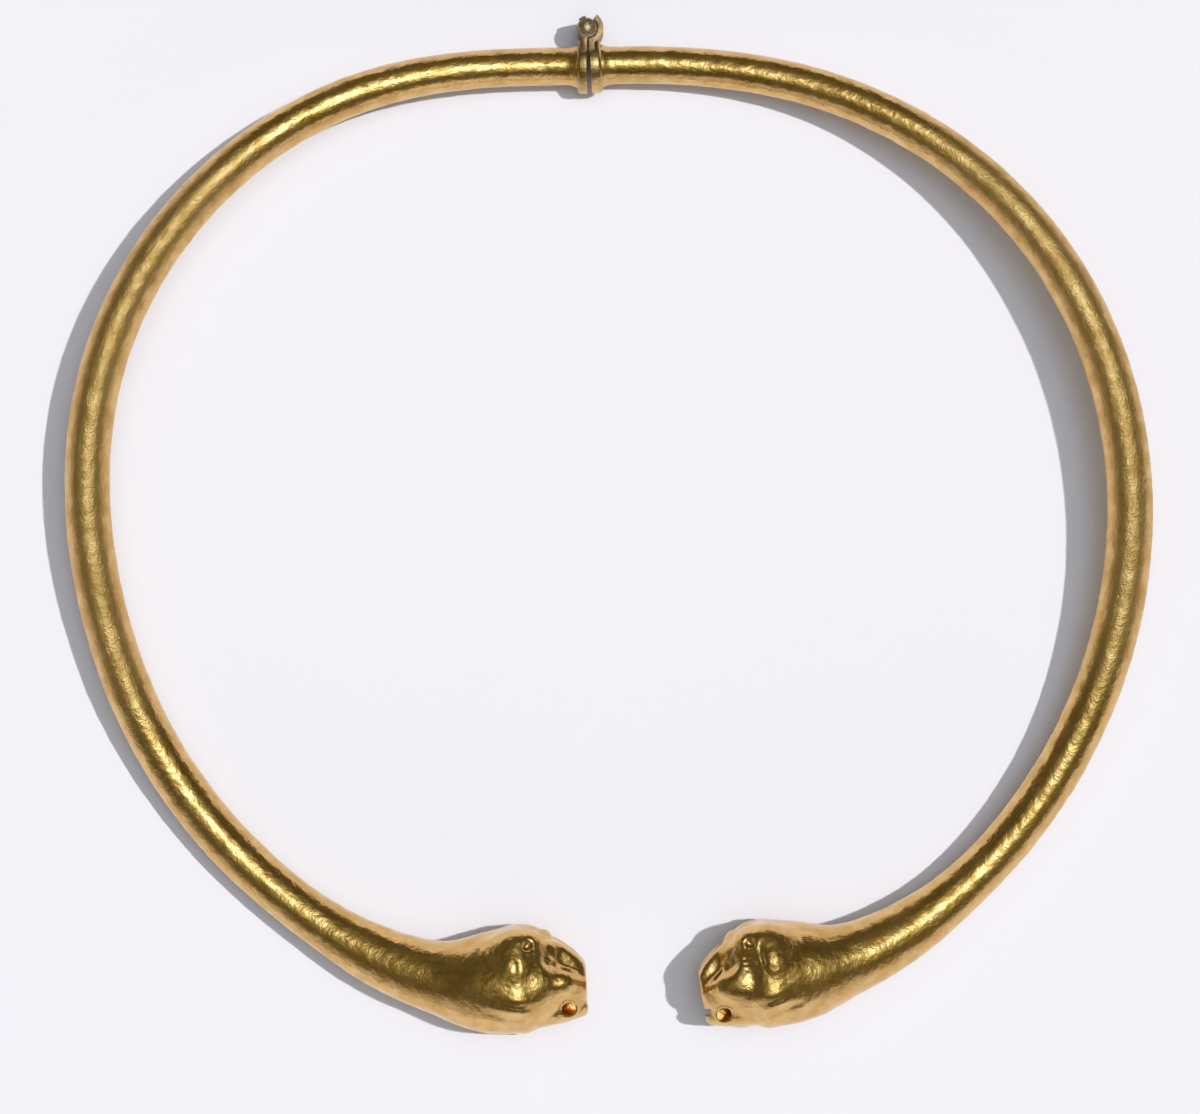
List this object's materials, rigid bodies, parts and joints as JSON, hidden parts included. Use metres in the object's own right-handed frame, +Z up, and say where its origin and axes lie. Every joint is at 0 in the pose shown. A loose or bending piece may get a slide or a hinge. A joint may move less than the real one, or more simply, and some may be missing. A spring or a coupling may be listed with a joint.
{
  "type": "hinged gold neck torc",
  "caption": "Open neck ring of hammered gold tube, its two arms swelling into lion heads that face each other, hinged at the back of the neck.",
  "frame": {"origin": "on the table under the middle of the torc's outline, lying flat", "axes": "+Z up from the table, +Y from the lion heads towards the hinge, +X towards the right arm"},
  "size_m": [0.1296, 0.122, 0.0129],
  "materials": {
    "hammered_gold": "high-carat gold, hand hammered and softly polished, with fine grain",
    "hinge_gold": "filed and polished high-carat gold, slightly rubbed",
    "pin_gold": "harder, greyer gold alloy, beaten into low domes"
  },
  "bodies": {
    "left_half": {"left_arm": "hammered_gold", "left_hinge_plate": "hinge_gold", "hinge_pin": "pin_gold", "tag_plate": "hammered_gold"},
    "right_half": {"right_arm": "hammered_gold", "right_hinge_plate": "hinge_gold"}
  },
  "joints": [
    {"name": "neck_hinge", "type": "hinge", "parent": "left_half", "child": "right_half", "pos_m": [-0.00254, 0.05946, 0], "axis": [0, 0, 1], "range_deg": [-4, 40]}
  ]
}
